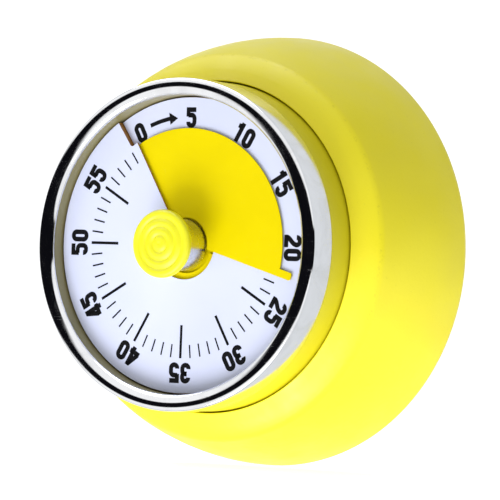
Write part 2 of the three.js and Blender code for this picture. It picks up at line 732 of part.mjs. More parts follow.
function add(name, finish, geometry) {
  const mesh = new THREE.Mesh(geometry, new THREE.MeshStandardMaterial(FINISHES[finish]));
  mesh.name = name;
  timer.add(mesh);
}

add("body_shell", "yellow_paint", bodyShell());
add("neck_sleeve", "yellow_paint", neckSleeve());
add("bezel_ring", "chrome", bezelRing());
add("back_cover", "black_plastic", backCover());
add("magnet", "magnet", rod(MAGNET_R, 0, MAGNET_T, centre, 32));
add("magnet_keeper", "steel", rod(MAGNET_R, MAGNET_T + GAP, MAGNET_T + KEEPER_T + GAP, centre, 32));
add("grip_ring", "rubber", tube(...GRIP_R, 0, GRIP_T, 36));
coverScrews.forEach((at, i) =>
  add(`cover_screw_${i + 1}`, "steel", screw(COVER_SCREW, at)),
);

add("dial_carrier", "yellow_plastic", dialCarrier());
add("dial_seat", "yellow_plastic", dialSeat());
add("dial_plate", "white_dial", dialPlate());
add("timer_disc", "yellow_plastic", timerDisc());
add("disc_hub", "yellow_plastic", tube(...HUB_R, ...HUB_Z, 24));
add("knob_cap", "yellow_plastic", knobCap());
add("knob_stem", "chrome", knobStem());

add("front_plate", "brass", frontPlate());
add("rear_plate", "brass", rearPlate());
add("main_bush", "brass", tube(SPINDLE_R + RUNNING, BUSH_R, FRONT_PLATE_Z - GAP, BUSH_TOP_Z, 20));
pillars.forEach((at, i) => add(`pillar_${i + 1}`, "brass", pillar(at)));
plateScrews.forEach((at, i) =>
  add(`movement_screw_${i + 1}`, "steel", screw(PLATE_SCREW, at)),
);

add("main_arbor", "steel", mainArbor());
add("mainspring", "steel", spiral(MAINSPRING, centre));
add("spring_post", "steel", rod(SPRING_POST.r, ...SPRING_POST.z, springPostAt, 12));
add("great_wheel", "brass", wheel(GREAT, centre, SECOND.turn, MAIN_ARBOR_R + RUNNING));
add("ratchet_wheel", "steel", ratchetWheel());
add("click_pawl", "steel", clickPawl());
add("alarm_cam", "steel", alarmCam());
add("second_pinion", "steel", pinion(SECOND, GREAT.module, secondAt));
add("second_wheel", "brass", wheel(SECOND, secondAt, THIRD.turn, ARBOR_R + RUNNING));
add("third_pinion", "steel", pinion(THIRD, SECOND.module, thirdAt));
add("third_wheel", "brass", wheel(THIRD, thirdAt, ESCAPE.turn, ARBOR_R + RUNNING));
add("escape_pinion", "steel", pinion(ESCAPE, THIRD.module, escapeAt));
add("escape_wheel", "brass", escapeWheel());
add("balance_staff", "steel", balanceStaff());
add("balance_wheel", "brass", balanceWheel());
add("hairspring", "steel", spiral(HAIRSPRING, balanceAt));
add("hairspring_stud", "steel", rod(STUD.r, ...STUD.z, studAt, 10));

add("bell_dome", "steel", bellDome());
add("bell_bridge", "steel", bellBridge());
add("bell_post", "brass", bellPost());
add("bell_screw", "steel", screw(BELL_SCREW, centre));
add("hammer_arbor", "steel", rod(HAMMER_ARBOR_R, ...HAMMER_ARBOR_Z, hammerAt, 12));
add("hammer_lever", "steel", hammerLever());
add("hammer_head", "steel", hammerHead());

export default timer;
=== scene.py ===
"""Looks of a sixty-minute clockwork kitchen timer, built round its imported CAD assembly."""

import json
import math

import bmesh
import bpy
from mathutils import Matrix, Vector


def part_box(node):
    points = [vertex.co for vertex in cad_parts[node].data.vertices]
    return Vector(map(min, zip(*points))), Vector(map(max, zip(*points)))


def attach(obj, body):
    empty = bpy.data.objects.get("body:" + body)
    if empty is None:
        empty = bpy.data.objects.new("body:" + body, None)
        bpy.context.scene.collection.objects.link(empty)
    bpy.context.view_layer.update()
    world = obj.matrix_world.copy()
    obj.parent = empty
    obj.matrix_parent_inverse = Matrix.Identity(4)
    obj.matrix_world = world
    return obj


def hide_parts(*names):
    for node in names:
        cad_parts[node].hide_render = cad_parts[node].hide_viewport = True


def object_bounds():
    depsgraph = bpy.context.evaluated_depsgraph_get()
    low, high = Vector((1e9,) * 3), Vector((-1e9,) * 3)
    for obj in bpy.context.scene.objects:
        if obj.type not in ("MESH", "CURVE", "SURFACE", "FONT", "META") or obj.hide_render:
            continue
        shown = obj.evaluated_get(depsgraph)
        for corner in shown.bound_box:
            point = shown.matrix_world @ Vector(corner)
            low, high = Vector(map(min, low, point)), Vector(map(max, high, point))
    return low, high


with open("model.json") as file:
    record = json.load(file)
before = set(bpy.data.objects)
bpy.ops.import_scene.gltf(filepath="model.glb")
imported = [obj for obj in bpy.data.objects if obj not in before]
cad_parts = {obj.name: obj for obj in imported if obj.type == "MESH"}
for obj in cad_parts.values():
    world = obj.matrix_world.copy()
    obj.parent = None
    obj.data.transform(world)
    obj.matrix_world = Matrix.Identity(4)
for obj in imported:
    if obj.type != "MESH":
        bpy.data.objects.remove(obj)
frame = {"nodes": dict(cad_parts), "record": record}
loaded_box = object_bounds()

# ---- sizes, in millimetres, with "out" measured from the wall towards the dial ----------------

MM = 0.001
TURN = 2 * math.pi
ROUND_STEPS = 6  # segments in a rounded corner of a section
BLOCK_STEPS = 3  # segments in a softened edge of a block
FINE = 192  # steps round a large turned piece
SMALL = 96  # steps round a small one
ROD_STEPS = 40  # sides of a post or a screw's hole

ZERO_TURN = math.radians(-30)  # the dial's 0, clockwise from the top
RISE = 1.2  # climb of the dial and of the disc in one clockwise turn
DIAL_LOW = 32.4  # middle of the dial sheet at its 0
DIAL_T = 0.35
DISC_T = 0.25
SHOWN_MINUTES = 22.15
DIAL_START = math.radians(-4.6)  # the sheet's lower end; its upper end lies over it
DIAL_SPAN = math.radians(363.7)
NOTCH_AT = math.radians(-4.9)  # the upper end is cut back to here outside the disc


class Extent:
    """Where a CAD node lies, in millimetres; its radius holds if it is centred on the axis."""

    def __init__(self, node):
        low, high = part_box(node)
        self.centre = Vector(((low.x + high.x) / 2, 0, (low.z + high.z) / 2)) / MM
        self.width = (high.x - low.x) / MM
        self.radius = high.x / MM
        self.back = -high.y / MM
        self.front = -low.y / MM


def dial_out(angle):
    """How far out the middle of the dial sheet is, at an angle clockwise from its 0."""
    return DIAL_LOW + RISE * angle / TURN


def disc_out(angle):
    """The same for the disc, which keeps halfway between two turns of the dial."""
    return dial_out(angle) + RISE / 2


# ---- shapes -----------------------------------------------------------------------------------


def wire(places, roundings, closed):
    """A bent line through the places, with each corner rounded by its own amount."""
    bm = bmesh.new()
    verts = [bm.verts.new(place) for place in places]
    ends = verts[1:] + verts[:1] if closed else verts[1:]
    for a, b in zip(verts, ends):
        bm.edges.new((a, b))
    groups = {}
    for vert, rounding in zip(verts, roundings):
        if rounding:
            groups.setdefault(rounding, []).append(vert)
    for rounding, group in groups.items():
        bmesh.ops.bevel(
            bm, geom=group, offset=rounding, offset_type="OFFSET", affect="VERTICES",
            segments=ROUND_STEPS, profile=0.5, material=-1,
        )
    return bm


def outline(corners, closed, turn=0.0):
    """A section drawn as corners (radius, out, rounding), turned clockwise from the top."""
    places = [(r * math.sin(turn), -out, r * math.cos(turn)) for r, out, _ in corners]
    return wire(places, [rounding for _, _, rounding in corners], closed)


def turned(corners, closed=True, steps=FINE):
    """A section spun once round the dial's axis; an open one has its ends on the axis."""
    bm = outline(corners, closed)
    bmesh.ops.spin(
        bm, geom=bm.verts[:] + bm.edges[:], cent=(0, 0, 0), axis=(0, 1, 0),
        dvec=(0, 0, 0), angle=TURN, steps=steps, use_merge=True,
    )
    return tidy(bm)


def climbing(corners, start, span, steps):
    """A closed section carried clockwise round the axis as it climbs with the dial."""
    bm = outline(corners, True, ZERO_TURN + start)
    bmesh.ops.spin(
        bm, geom=bm.verts[:] + bm.edges[:], cent=(0, 0, 0), axis=(0, 1, 0),
        dvec=(0, -RISE * span / TURN / steps, 0), angle=span, steps=steps,
    )
    bmesh.ops.holes_fill(bm, edges=bm.edges[:], sides=0)
    return tidy(bm)


def sheet_section(inner, outer, low, thickness, rounding=0.0):
    """Corners of a thin section between two radii, its back face at low."""
    return [
        (inner, low, rounding),
        (outer, low, rounding),
        (outer, low + thickness, rounding),
        (inner, low + thickness, rounding),
    ]


def block(size, place, rounding=0.0, axis=2):
    """A box of that size at a place; rounding softens the edges that run along the axis."""
    bm = bmesh.new()
    bmesh.ops.create_cube(bm, size=1)
    bmesh.ops.scale(bm, vec=size, verts=bm.verts)
    if rounding:
        along = [e for e in bm.edges if abs((e.verts[0].co - e.verts[1].co)[axis]) > 0]
        bmesh.ops.bevel(
            bm, geom=along, offset=rounding, offset_type="OFFSET", affect="EDGES",
            segments=BLOCK_STEPS, profile=0.5, material=-1,
        )
    bmesh.ops.transform(bm, matrix=place, verts=bm.verts)
    return bm


def rod(centre, radius, back, front):
    """A plain cylinder that runs outwards between two faces."""
    bm = bmesh.new()
    place = Matrix.Translation(centre + Vector((0, -(back + front) / 2, 0)))
    bmesh.ops.create_cone(
        bm, cap_ends=True, segments=ROD_STEPS, radius1=radius, radius2=radius,
        depth=front - back, matrix=place @ Matrix.Rotation(TURN / 4, 4, "X"),
    )
    return bm


def tidy(bm):
    """The shape with its doubles merged and its faces turned outwards."""
    bmesh.ops.remove_doubles(bm, verts=bm.verts, dist=1e-5)
    bmesh.ops.recalc_face_normals(bm, faces=bm.faces)
    return bm


def gathered(shapes):
    """Several shapes as one mesh."""
    whole = bmesh.new()
    for bm in shapes:
        mesh = bpy.data.meshes.new("part")
        bm.to_mesh(mesh)
        whole.from_mesh(mesh)
        bpy.data.meshes.remove(mesh)
        bm.free()
    return whole


def reshaped(bm, kind, tool=None, **settings):
    """The shape after one modifier of that kind, which may use a second shape as its tool."""
    holders = []
    for shape in (bm, tool) if tool else (bm,):
        mesh = bpy.data.meshes.new("work")
        shape.to_mesh(mesh)
        shape.free()
        holders.append(bpy.data.objects.new("work", mesh))
        bpy.context.scene.collection.objects.link(holders[-1])
    modifier = holders[0].modifiers.new("work", kind)
    for key, value in settings.items():
        setattr(modifier, key, value)
    if tool:
        modifier.object = holders[1]
    graph = bpy.context.evaluated_depsgraph_get()
    made = bpy.data.meshes.new_from_object(holders[0].evaluated_get(graph))
    result = bmesh.new()
    result.from_mesh(made)
    for mesh in [made] + [holder.data for holder in holders]:
        bpy.data.meshes.remove(mesh)
    return result


def combined(bm, tool, operation):
    """A shape less a tool, or joined to it."""
    return reshaped(bm, "BOOLEAN", tool, operation=operation, solver="EXACT")


def piece(name, bm, material, body, slot, *nodes, sharp=40):
    """A finished piece in metres, riding on a CAD body and standing for its CAD nodes."""
    mesh = bpy.data.meshes.new(name)
    bm.to_mesh(mesh)
    bm.free()
    mesh.transform(Matrix.Scale(MM, 4))
    mesh.shade_smooth()
    mesh.set_sharp_from_angle(angle=math.radians(sharp))
    mesh.materials.append(material)
    obj = bpy.data.objects.new(name, mesh)
    bpy.context.scene.collection.objects.link(obj)
    normals = obj.modifiers.new("even shading", "WEIGHTED_NORMAL")
    normals.keep_sharp = True
    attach(obj, body)
    if nodes:
        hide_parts(*nodes)
    return obj


# ---- shader maths -----------------------------------------------------------------------------


class Signal:
    """A node's output; arithmetic on it adds Math nodes to the same tree."""

    def __init__(self, finish, socket):
        self.finish = finish
        self.socket = socket

    def __add__(self, other):
        return self.finish.maths("ADD", self, other)

    def __radd__(self, other):
        return self.finish.maths("ADD", other, self)

    def __sub__(self, other):
        return self.finish.maths("SUBTRACT", self, other)

    def __rsub__(self, other):
        return self.finish.maths("SUBTRACT", other, self)

    def __mul__(self, other):
        return self.finish.maths("MULTIPLY", self, other)

    def __rmul__(self, other):
        return self.finish.maths("MULTIPLY", other, self)

    def __pow__(self, other):
        return self.finish.maths("POWER", self, other)

    def __abs__(self):
        return self.finish.maths("ABSOLUTE", self)

    def greatest(self, other):
        return self.finish.maths("MAXIMUM", self, other)

    def ramp(self, low, high, start=0.0, end=1.0):
        """Runs smoothly from start to end as the signal goes from low to high."""
        return self.finish.node(
            "ShaderNodeMapRange",
            {"interpolation_type": "SMOOTHSTEP"},
            {"Value": self, "From Min": low, "From Max": high, "To Min": start, "To Max": end},
        )


class Finish:
    """A node tree with a shader in it, for a material or for the surroundings."""

    def __init__(self, name, world=False):
        self.owner = (bpy.data.worlds if world else bpy.data.materials).new(name)
        self.owner.use_nodes = True
        self.tree = self.owner.node_tree
        self.tree.nodes.clear()

    def node(self, kind, settings=None, inputs=None, output=0):
        """One node: its type, its settings, then the values or signals of its inputs."""
        made = self.tree.nodes.new(kind)
        for key, value in (settings or {}).items():
            setattr(made, key, value)
        for key, value in (inputs or {}).items():
            if isinstance(value, Signal):
                self.tree.links.new(value.socket, made.inputs[key])
            elif isinstance(value, tuple) and len(value) == 3:
                wide = len(made.inputs[key].default_value) == 4
                made.inputs[key].default_value = (*value, 1.0) if wide else value
            else:
                made.inputs[key].default_value = value
        return Signal(self, made.outputs[output]) if made.outputs else None

    def maths(self, operation, *values):
        return self.node("ShaderNodeMath", {"operation": operation}, dict(enumerate(values)))

    def place(self):
        """The place on the piece, in metres."""
        return self.node("ShaderNodeTexCoord", output="Object")

    def stretched(self, scale):
        """Place on the piece, scaled by an amount along each direction."""
        return self.node("ShaderNodeMapping", {}, {"Vector": self.place(), "Scale": scale})

    def noise(self, per_metre, detail=3.0, roughness=0.5, vector=None, distortion=0.0):
        return self.node(
            "ShaderNodeTexNoise",
            {"noise_dimensions": "3D"},
            {
                "Vector": vector or self.place(), "Scale": per_metre, "Detail": detail,
                "Roughness": roughness, "Distortion": distortion,
            },
        )

    def cells(self, per_metre):
        return self.node(
            "ShaderNodeTexVoronoi", {"feature": "F1"},
            {"Vector": self.place(), "Scale": per_metre}, "Distance",
        )

    def parts(self):
        """The place's three coordinates."""
        split = self.node("ShaderNodeSeparateXYZ", {}, {"Vector": self.place()})
        outputs = split.socket.node.outputs
        return [Signal(self, outputs[axis]) for axis in "XYZ"]

    def radius(self):
        """Distance from the dial's axis."""
        x, _, z = self.parts()
        return (x * x + z * z) ** 0.5

    def hairlines(self, along, across):
        """Fine straight scratches: noise stretched along one direction."""
        return self.noise(1.0, 2.0, vector=self.stretched((along, along, across)))

    def mixed(self, factor, a, b):
        return self.node(
            "ShaderNodeMix", {"data_type": "RGBA"}, {0: factor, 6: a, 7: b}, 2
        )

    def bump(self, height, distance, strength):
        inputs = {"Height": height, "Distance": distance, "Strength": strength}
        return self.node("ShaderNodeBump", {}, inputs, "Normal")

    def principled(self, **inputs):
        named = {key.replace("_", " "): value for key, value in inputs.items()}
        shader = self.node("ShaderNodeBsdfPrincipled", {}, named)
        self.node("ShaderNodeOutputMaterial", {}, {"Surface": shader})
        return self.owner


# ---- finishes ---------------------------------------------------------------------------------

RUB = 0.5  # how far from an edge, in millimetres, its enamel is rubbed

def enamel(name, light, deep, worn_edges):
    """Satin enamel with orange peel, rubbed along its edges, given as (radius, out)."""
    f = Finish(name)
    drift = f.noise(45, 2)
    specks = f.noise(2600, 2).ramp(0.66, 0.74)
    peel = f.noise(1100, 2, 0.45)
    radius = f.radius()
    _, across, _ = f.parts()
    rubbed = specks
    for edge_r, edge_out in worn_edges:
        aside, along = radius - edge_r * MM, across + edge_out * MM
        rubbed = rubbed.greatest(1 - (aside * aside + along * along).ramp(0, (RUB * MM) ** 2))
    worn = rubbed * f.noise(900, 4, 0.7).ramp(0.55, 0.62)
    tone = f.mixed(drift.ramp(0.35, 0.65), light, deep)
    tone = f.mixed(specks * 0.12, tone, tuple(c * 0.6 for c in deep))
    tone = f.mixed(worn * 0.35, tone, tuple(c * 0.72 for c in deep))
    handled = f.noise(120, 4, 0.6)
    return f.principled(
        Base_Color=tone,
        Roughness=handled.ramp(0.3, 0.7, 0.34, 0.46) + worn * 0.12,
        Normal=f.bump(peel, 0.00006, 0.5),
        Coat_Weight=handled.ramp(0.4, 0.8, 0.12, 0.04),
        Coat_Roughness=0.22,
    )


def moulded(name, light, deep, shine=(0.28, 0.4), gloss=0.5):
    """Smooth moulded plastic with faint flow marks, dust and hairlines."""
    f = Finish(name)
    flow = f.noise(70, 3, 0.5, distortion=1.2)
    dust = f.noise(5200, 1).ramp(0.7, 0.78)
    lines = f.hairlines(500, 9000).ramp(0.62, 0.72)
    tone = f.mixed(flow.ramp(0.3, 0.7), light, deep)
    tone = f.mixed(dust * 0.06, tone, (0.8, 0.8, 0.7))
    height = f.noise(2600, 2) + lines * 0.5
    return f.principled(
        Base_Color=tone,
        Roughness=f.noise(210, 3).ramp(0.3, 0.7, *shine) + lines * 0.1,
        Normal=f.bump(height, 0.000008, 0.5),
        Specular_IOR_Level=gloss,
    )


def plated(name, colour=(0.80, 0.80, 0.82), shine=(0.05, 0.13)):
    """Bright chrome with finger smudges, polishing lines and a few scratches."""
    f = Finish(name)
    smudge = f.noise(160, 4, 0.6, distortion=0.8)
    polish = f.node(
        "ShaderNodeTexNoise", {"noise_dimensions": "1D"},
        {"W": f.radius() * 9000, "Scale": 1.0, "Detail": 2.0},
    )
    scratch = f.hairlines(220, 7000).ramp(0.68, 0.73)
    tint = f.mixed(smudge.ramp(0.35, 0.75), colour, tuple(c * 0.9 for c in colour))
    return f.principled(
        Base_Color=tint,
        Metallic=1.0,
        Roughness=smudge.ramp(0.35, 0.75, *shine) + scratch * 0.12,
        Normal=f.bump(polish * 0.4 + scratch, 0.000002, 0.35),
    )


def printed_sheet(name):
    """Matt white sheet with a faint fibre and a slight cool cast."""
    f = Finish(name)
    fibre = f.noise(1500, 4, 0.65)
    drift = f.noise(60, 2)
    tone = f.mixed(drift.ramp(0.3, 0.7), (0.63, 0.67, 0.86), (0.60, 0.645, 0.85))
    tone = f.mixed(fibre.ramp(0.6, 0.8) * 0.12, tone, (0.55, 0.58, 0.72))
    return f.principled(
        Base_Color=tone,
        Roughness=fibre.ramp(0.3, 0.7, 0.46, 0.6),
        Normal=f.bump(fibre, 0.000012, 0.4),
    )


def ink(name):
    """Screen-printed black, a little uneven."""
    f = Finish(name)
    cover = f.noise(3400, 3, 0.6)
    tone = f.mixed(cover.ramp(0.35, 0.75), (0.002, 0.002, 0.003), (0.007, 0.007, 0.009))
    return f.principled(
        Base_Color=tone,
        Roughness=cover.ramp(0.3, 0.7, 0.42, 0.6),
        Normal=f.bump(cover, 0.000006, 0.5),
        Specular_IOR_Level=0.12,
    )


def sheet_metal(name, light, deep, shine=(0.24, 0.42)):
    """Rolled or turned metal: drawn lines, a cloudy tone and small dark marks."""
    f = Finish(name)
    drawn = f.hairlines(300, 5200)
    cloud = f.noise(140, 4, 0.6)
    marks = f.noise(700, 3, 0.7).ramp(0.66, 0.74)
    tone = f.mixed(cloud.ramp(0.3, 0.7), light, deep)
    tone = f.mixed(marks * 0.5, tone, tuple(c * 0.45 for c in deep))
    return f.principled(
        Base_Color=tone,
        Metallic=1.0 - marks * 0.3,
        Roughness=cloud.ramp(0.3, 0.7, *shine) + drawn.ramp(0.4, 0.8) * 0.12,
        Normal=f.bump(drawn, 0.000006, 0.5),
    )


def textured_plastic(name, light, deep):
    """Black moulding with a spark-eroded grain and pale scuffs."""
    f = Finish(name)
    grain = f.cells(2400)
    cloud = f.noise(90, 3)
    scuff = f.hairlines(420, 5200).ramp(0.66, 0.74) * f.noise(60, 2).ramp(0.45, 0.6)
    tone = f.mixed(cloud.ramp(0.3, 0.7), light, deep)
    tone = f.mixed(scuff * 0.3, tone, (0.2, 0.2, 0.205))
    return f.principled(
        Base_Color=tone,
        Roughness=cloud.ramp(0.3, 0.7, 0.5, 0.66) - scuff * 0.1,
        Normal=f.bump(grain, 0.00003, 0.6),
    )


def soft_rubber(name):
    """Black rubber with a fine grain and a pale bloom."""
    f = Finish(name)
    grain = f.noise(2200, 4, 0.7)
    bloom = f.noise(130, 4, 0.6)
    tone = f.mixed(bloom.ramp(0.4, 0.8), (0.016, 0.016, 0.017), (0.05, 0.05, 0.052))
    return f.principled(
        Base_Color=tone,
        Roughness=bloom.ramp(0.3, 0.8, 0.78, 0.92),
        Normal=f.bump(grain, 0.00004, 0.6),
    )


def ferrite(name):
    """Sintered magnet: charcoal, grained, with ground marks across its face."""
    f = Finish(name)
    grain = f.cells(3200)
    ground = f.hairlines(260, 2600)
    tone = f.mixed(ground.ramp(0.4, 0.7), (0.030, 0.030, 0.034), (0.075, 0.075, 0.082))
    return f.principled(
        Base_Color=tone,
        Metallic=0.25,
        Roughness=ground.ramp(0.3, 0.7, 0.42, 0.62),
        Normal=f.bump(grain * 0.4 + ground, 0.00002, 0.6),
    )


YELLOW = (0.90, 0.80, 0.012)
YELLOW_DEEP = (0.85, 0.75, 0.009)
# Painted shade: the neck's yellow paint is a darker copy of the case's yellow, standing in for the
# shade under the bezel.
NECK_YELLOW_PAINTED_SHADE = (0.68, 0.61, 0.012)
NECK_YELLOW_DEEP_PAINTED_SHADE = (0.64, 0.57, 0.010)

case_enamel = enamel("case enamel", YELLOW, YELLOW_DEEP, ((40, 1), (35.3, 22.7)))
neck_enamel_painted_shade = enamel("neck enamel painted shade", NECK_YELLOW_PAINTED_SHADE, NECK_YELLOW_DEEP_PAINTED_SHADE, ((30, 30.9),))
disc_plastic = moulded("disc plastic", (0.76, 0.62, 0.0), (0.73, 0.59, 0.0), (0.4, 0.52), 0.05)
knob_plastic = moulded("knob plastic", (0.80, 0.78, 0.012), (0.77, 0.74, 0.010), (0.3, 0.44))
# Painted shade: the carrier's yellow plastic is given a dark olive colour, standing in for the
# shade inside the bezel's recess.
dish_plastic_painted_shade = moulded("dish plastic painted shade", (0.26, 0.23, 0.11), (0.22, 0.20, 0.09), (0.34, 0.48))
# Painted shade: the ramp's yellow plastic is given a brown-orange colour, standing in for the
# plastic in shadow under the dial's step.
ramp_plastic_painted_shade = moulded("ramp plastic painted shade", (0.44, 0.19, 0.02), (0.38, 0.16, 0.015), (0.34, 0.48))
bezel_chrome = plated("bezel chrome")
stem_chrome = plated("stem chrome", (0.70, 0.70, 0.73), (0.24, 0.34))
dial_white = printed_sheet("dial white")
dial_ink = ink("dial ink")
plate_brass = sheet_metal("plate brass", (0.60, 0.42, 0.14), (0.50, 0.34, 0.10))
steel = sheet_metal("movement steel", (0.42, 0.43, 0.45), (0.33, 0.34, 0.36))
screw_steel = sheet_metal("screw steel", (0.52, 0.52, 0.54), (0.40, 0.41, 0.43))
cover_black = textured_plastic("cover black", (0.018, 0.018, 0.019), (0.028, 0.028, 0.03))
grip_rubber = soft_rubber("grip rubber")
magnet_ferrite = ferrite("magnet ferrite")

# ---- case, neck and back ----------------------------------------------------------------------

case = Extent("body_shell")
neck = Extent("neck_sleeve")
bezel = Extent("bezel_ring")
cover = Extent("back_cover")
magnet = Extent("magnet")
grip = Extent("grip_ring")
dish = Extent("dial_carrier")
knob = Extent("knob_cap")
stem = Extent("knob_stem")

COVER_SCREWS = ("cover_screw_1", "cover_screw_2", "cover_screw_3")
OVERRUN = 2  # how far a hole's cutter starts behind the post


def with_posts(bm, screws, radius, back, front, bore, cap):
    """The shape with a round post for each screw, bored from behind but for a cap in front."""
    for screw in screws:
        centre = Extent(screw).centre
        bm = combined(bm, rod(centre, radius, back, front), "UNION")
        bm = combined(bm, rod(centre, bore, back - OVERRUN, front - cap), "DIFFERENCE")
    return bm


WALL = 2.2
BELLY = (case.radius - 0.8, 13.6)  # where the flare turns in
SHOULDER = (35.3, 22.7)
NECK_HOLE_R = 30.2
COVER_BORE_R = 38.3
LEDGE = 3.5

piece(
    "case",
    with_posts(turned([
        (COVER_BORE_R, case.back, 0.15),
        (case.radius - 0.35, case.back, 0.3),
        (case.radius, 1.4, 0.5),
        (*BELLY, 9.0),
        (*SHOULDER, 0.7),
        (SHOULDER[0] - 1.9, 24.1, 1.2),
        (NECK_HOLE_R + 0.1, case.front, 0.25),
        (NECK_HOLE_R, case.front - WALL, 0.15),
        (SHOULDER[0] - 3, SHOULDER[1] - 0.9, 0.6),
        (SHOULDER[0] - WALL, SHOULDER[1] - 1.4, 0.5),
        (BELLY[0] - WALL, BELLY[1], 7.0),
        (case.radius - WALL, LEDGE, 0.0),
        (COVER_BORE_R, LEDGE, 0.0),
    ]), COVER_SCREWS, radius=2.8, back=LEDGE, front=15, bore=1.15, cap=1.5),
    case_enamel, "housing", "yellow_paint", "body_shell",
)

NECK_R = 30
NECK_BORE_R = 27
FLANGE_R = 32.4
FLANGE_T = 1.1
DISH_BACK = 29.4
DISH_BORE_R = dish.radius + 0.3
DISH_SEAT = DISH_BACK - 0.1
piece(
    "neck",
    turned([
        (NECK_BORE_R, neck.back, 0.1),
        (FLANGE_R, neck.back, 0.2),
        (FLANGE_R, neck.back + FLANGE_T, 0.2),
        (NECK_R, neck.back + FLANGE_T, 0.3),
        (NECK_R, neck.front, 0.15),
        (DISH_BORE_R, neck.front, 0.1),
        (DISH_BORE_R, DISH_SEAT, 0.0),
        (NECK_BORE_R, DISH_SEAT, 0.1),
    ]),
    neck_enamel_painted_shade, "housing", "yellow_paint", "neck_sleeve",
)

POCKET_R = magnet.radius + 0.2
POCKET_WALL = 2
POCKET_FLOOR = 4.1
FLOOR_T = 1
GRIP_IN = 22
GRIP_GAP = 0.2
GROOVE_IN, GROOVE_OUT = 17.0, 20.2
GROOVE_DEPTH = 0.5
COVER_HOLES = ((2.7, 2.4), (1.2, 6.0))  # radius and depth, for a screw's head and its shank


def cover_shape():
    """Moulded cover with the magnet's pocket, a shallow groove, the rubber's seat and holes."""
    rubber_seat = grip.front + 0.1
    bm = turned([
        (0, POCKET_FLOOR, 0.0),
        (POCKET_R, POCKET_FLOOR, 0.2),
        (POCKET_R, cover.back + 0.1, 0.25),
        (16.2, cover.back, 0.2),
        (GROOVE_IN, cover.back + GROOVE_DEPTH, 0.2),
        (GROOVE_OUT, cover.back + GROOVE_DEPTH, 0.2),
        (GRIP_IN - 0.9, cover.back, 0.2),
        (GRIP_IN - GRIP_GAP, cover.back, 0.15),
        (GRIP_IN - GRIP_GAP, rubber_seat, 0.1),
        (grip.radius + GRIP_GAP, rubber_seat, 0.1),
        (grip.radius + GRIP_GAP, cover.back, 0.15),
        (cover.radius - 0.4, cover.back, 0.1),
        (cover.radius, cover.back + 0.4, 0.1),
        (cover.radius, cover.front, 0.2),
        (POCKET_R + POCKET_WALL, cover.front, 0.3),
        (POCKET_R + POCKET_WALL, POCKET_FLOOR + FLOOR_T, 0.3),
        (0, POCKET_FLOOR + FLOOR_T, 0.0),
    ], closed=False)
    for screw in COVER_SCREWS:
        for radius, depth in COVER_HOLES:
            bm = combined(bm, rod(Extent(screw).centre, radius, -depth, depth), "DIFFERENCE")
    return bm


HEAD_BACK, HEAD_FRONT = 0.95, 2.3
SHANK_R = 1.0
POINT = 1.5  # length of the tapered end
RECESS = (3.0, 1.6, 0.55)  # cutter of one slot of the cross, centred on the head's back
SCREW_STEPS = 48


def screw_shape(node, twist):
    """Pan-head screw with a cross recess, turned to its own stop."""
    screw = Extent(node)
    head_r = screw.width / 2
    bm = turned([
        (0, screw.back, 0.0),
        (head_r, screw.back, 0.5),
        (head_r, HEAD_FRONT, 0.1),
        (SHANK_R, HEAD_FRONT, 0.1),
        (SHANK_R, screw.front - POINT, 0.2),
        (0, screw.front, 0.0),
    ], closed=False, steps=SCREW_STEPS)
    for quarter in (0, 1):
        place = Matrix.Rotation(twist + quarter * TURN / 4, 4, "Y")
        place = place @ Matrix.Translation((0, -HEAD_BACK, 0))
        bm = combined(bm, block(RECESS, place, 0.1, 1), "DIFFERENCE")
    bmesh.ops.translate(bm, vec=screw.centre, verts=bm.verts)
    return bm


SCREW_TWISTS = (0.3, 1.1, 0.7)  # radians by which each screw's cross is turned
piece("cover", cover_shape(), cover_black, "housing", "black_plastic", "back_cover")
for node, twist in zip(COVER_SCREWS, SCREW_TWISTS):
    piece(
        node.replace("cover_screw", "back_screw"), screw_shape(node, twist), screw_steel,
        "housing", "steel", node,
    )
piece(
    "magnet_disc",
    turned([
        (0, magnet.back, 0.0),
        (magnet.radius, magnet.back, 0.4),
        (magnet.radius, magnet.front, 0.3),
        (0, magnet.front, 0.0),
    ], closed=False),
    magnet_ferrite, "housing", "magnet", "magnet",
)
RIB = 0.25
RIB_RADII = (23.2, 24.4, 25.6, 26.8, 27.9)  # crests and valleys in turn
piece(
    "grip",
    turned([
        (GRIP_IN, grip.front, 0.0),
        (GRIP_IN, grip.back + RIB, 0.3),
        *((radius, grip.back + RIB * (i % 2), 0.3) for i, radius in enumerate(RIB_RADII)),
        (grip.radius, grip.back + RIB, 0.3),
        (grip.radius, grip.front, 0.0),
    ]),
    grip_rubber, "housing", "rubber", "grip_ring",
)

# ---- bezel and dish ---------------------------------------------------------------------------

LIP_R = 27
CREST_R = 29.2
BEZEL_STEPS = 256
DISH_FIT = 0.1
piece(
    "bezel",
    turned([
        (dish.radius + DISH_FIT, bezel.back, 0.1),
        (bezel.radius, bezel.back, 0.15),
        (bezel.radius, bezel.front - 0.3, 0.35),
        (CREST_R, bezel.front, 0.8),
        (LIP_R + 0.5, bezel.front - 0.3, 0.3),
        (LIP_R, bezel.front - 0.8, 0.25),
        (LIP_R + 0.1, dish.front + DISH_FIT, 0.1),
        (dish.radius + DISH_FIT, dish.front + DISH_FIT, 0.1),
    ], steps=BEZEL_STEPS),
    bezel_chrome, "housing", "chrome", "bezel_ring",
)

DISH_FLOOR = 31.2
DISH_RIM_R = 27.1
DISH_HOLE_R = 3.4
PLATE_SCREWS = ("movement_screw_1", "movement_screw_2", "movement_screw_3")
# The dish wears the dark olive painted shade of yellow plastic in shadow.
piece(
    "dish",
    with_posts(turned([
        (DISH_HOLE_R, DISH_BACK, 0.1),
        (dish.radius, DISH_BACK, 0.2),
        (dish.radius, dish.front, 0.15),
        (DISH_RIM_R, dish.front, 0.15),
        (DISH_RIM_R, DISH_FLOOR, 0.3),
        (DISH_HOLE_R, DISH_FLOOR, 0.2),
    ]), PLATE_SCREWS, radius=2.2, back=dish.back, front=DISH_BACK + 1, bore=0.95, cap=1.1),
    dish_plastic_painted_shade, "housing", "yellow_plastic", "dial_carrier",
)

# ---- dial and its print -----------------------------------------------------------------------

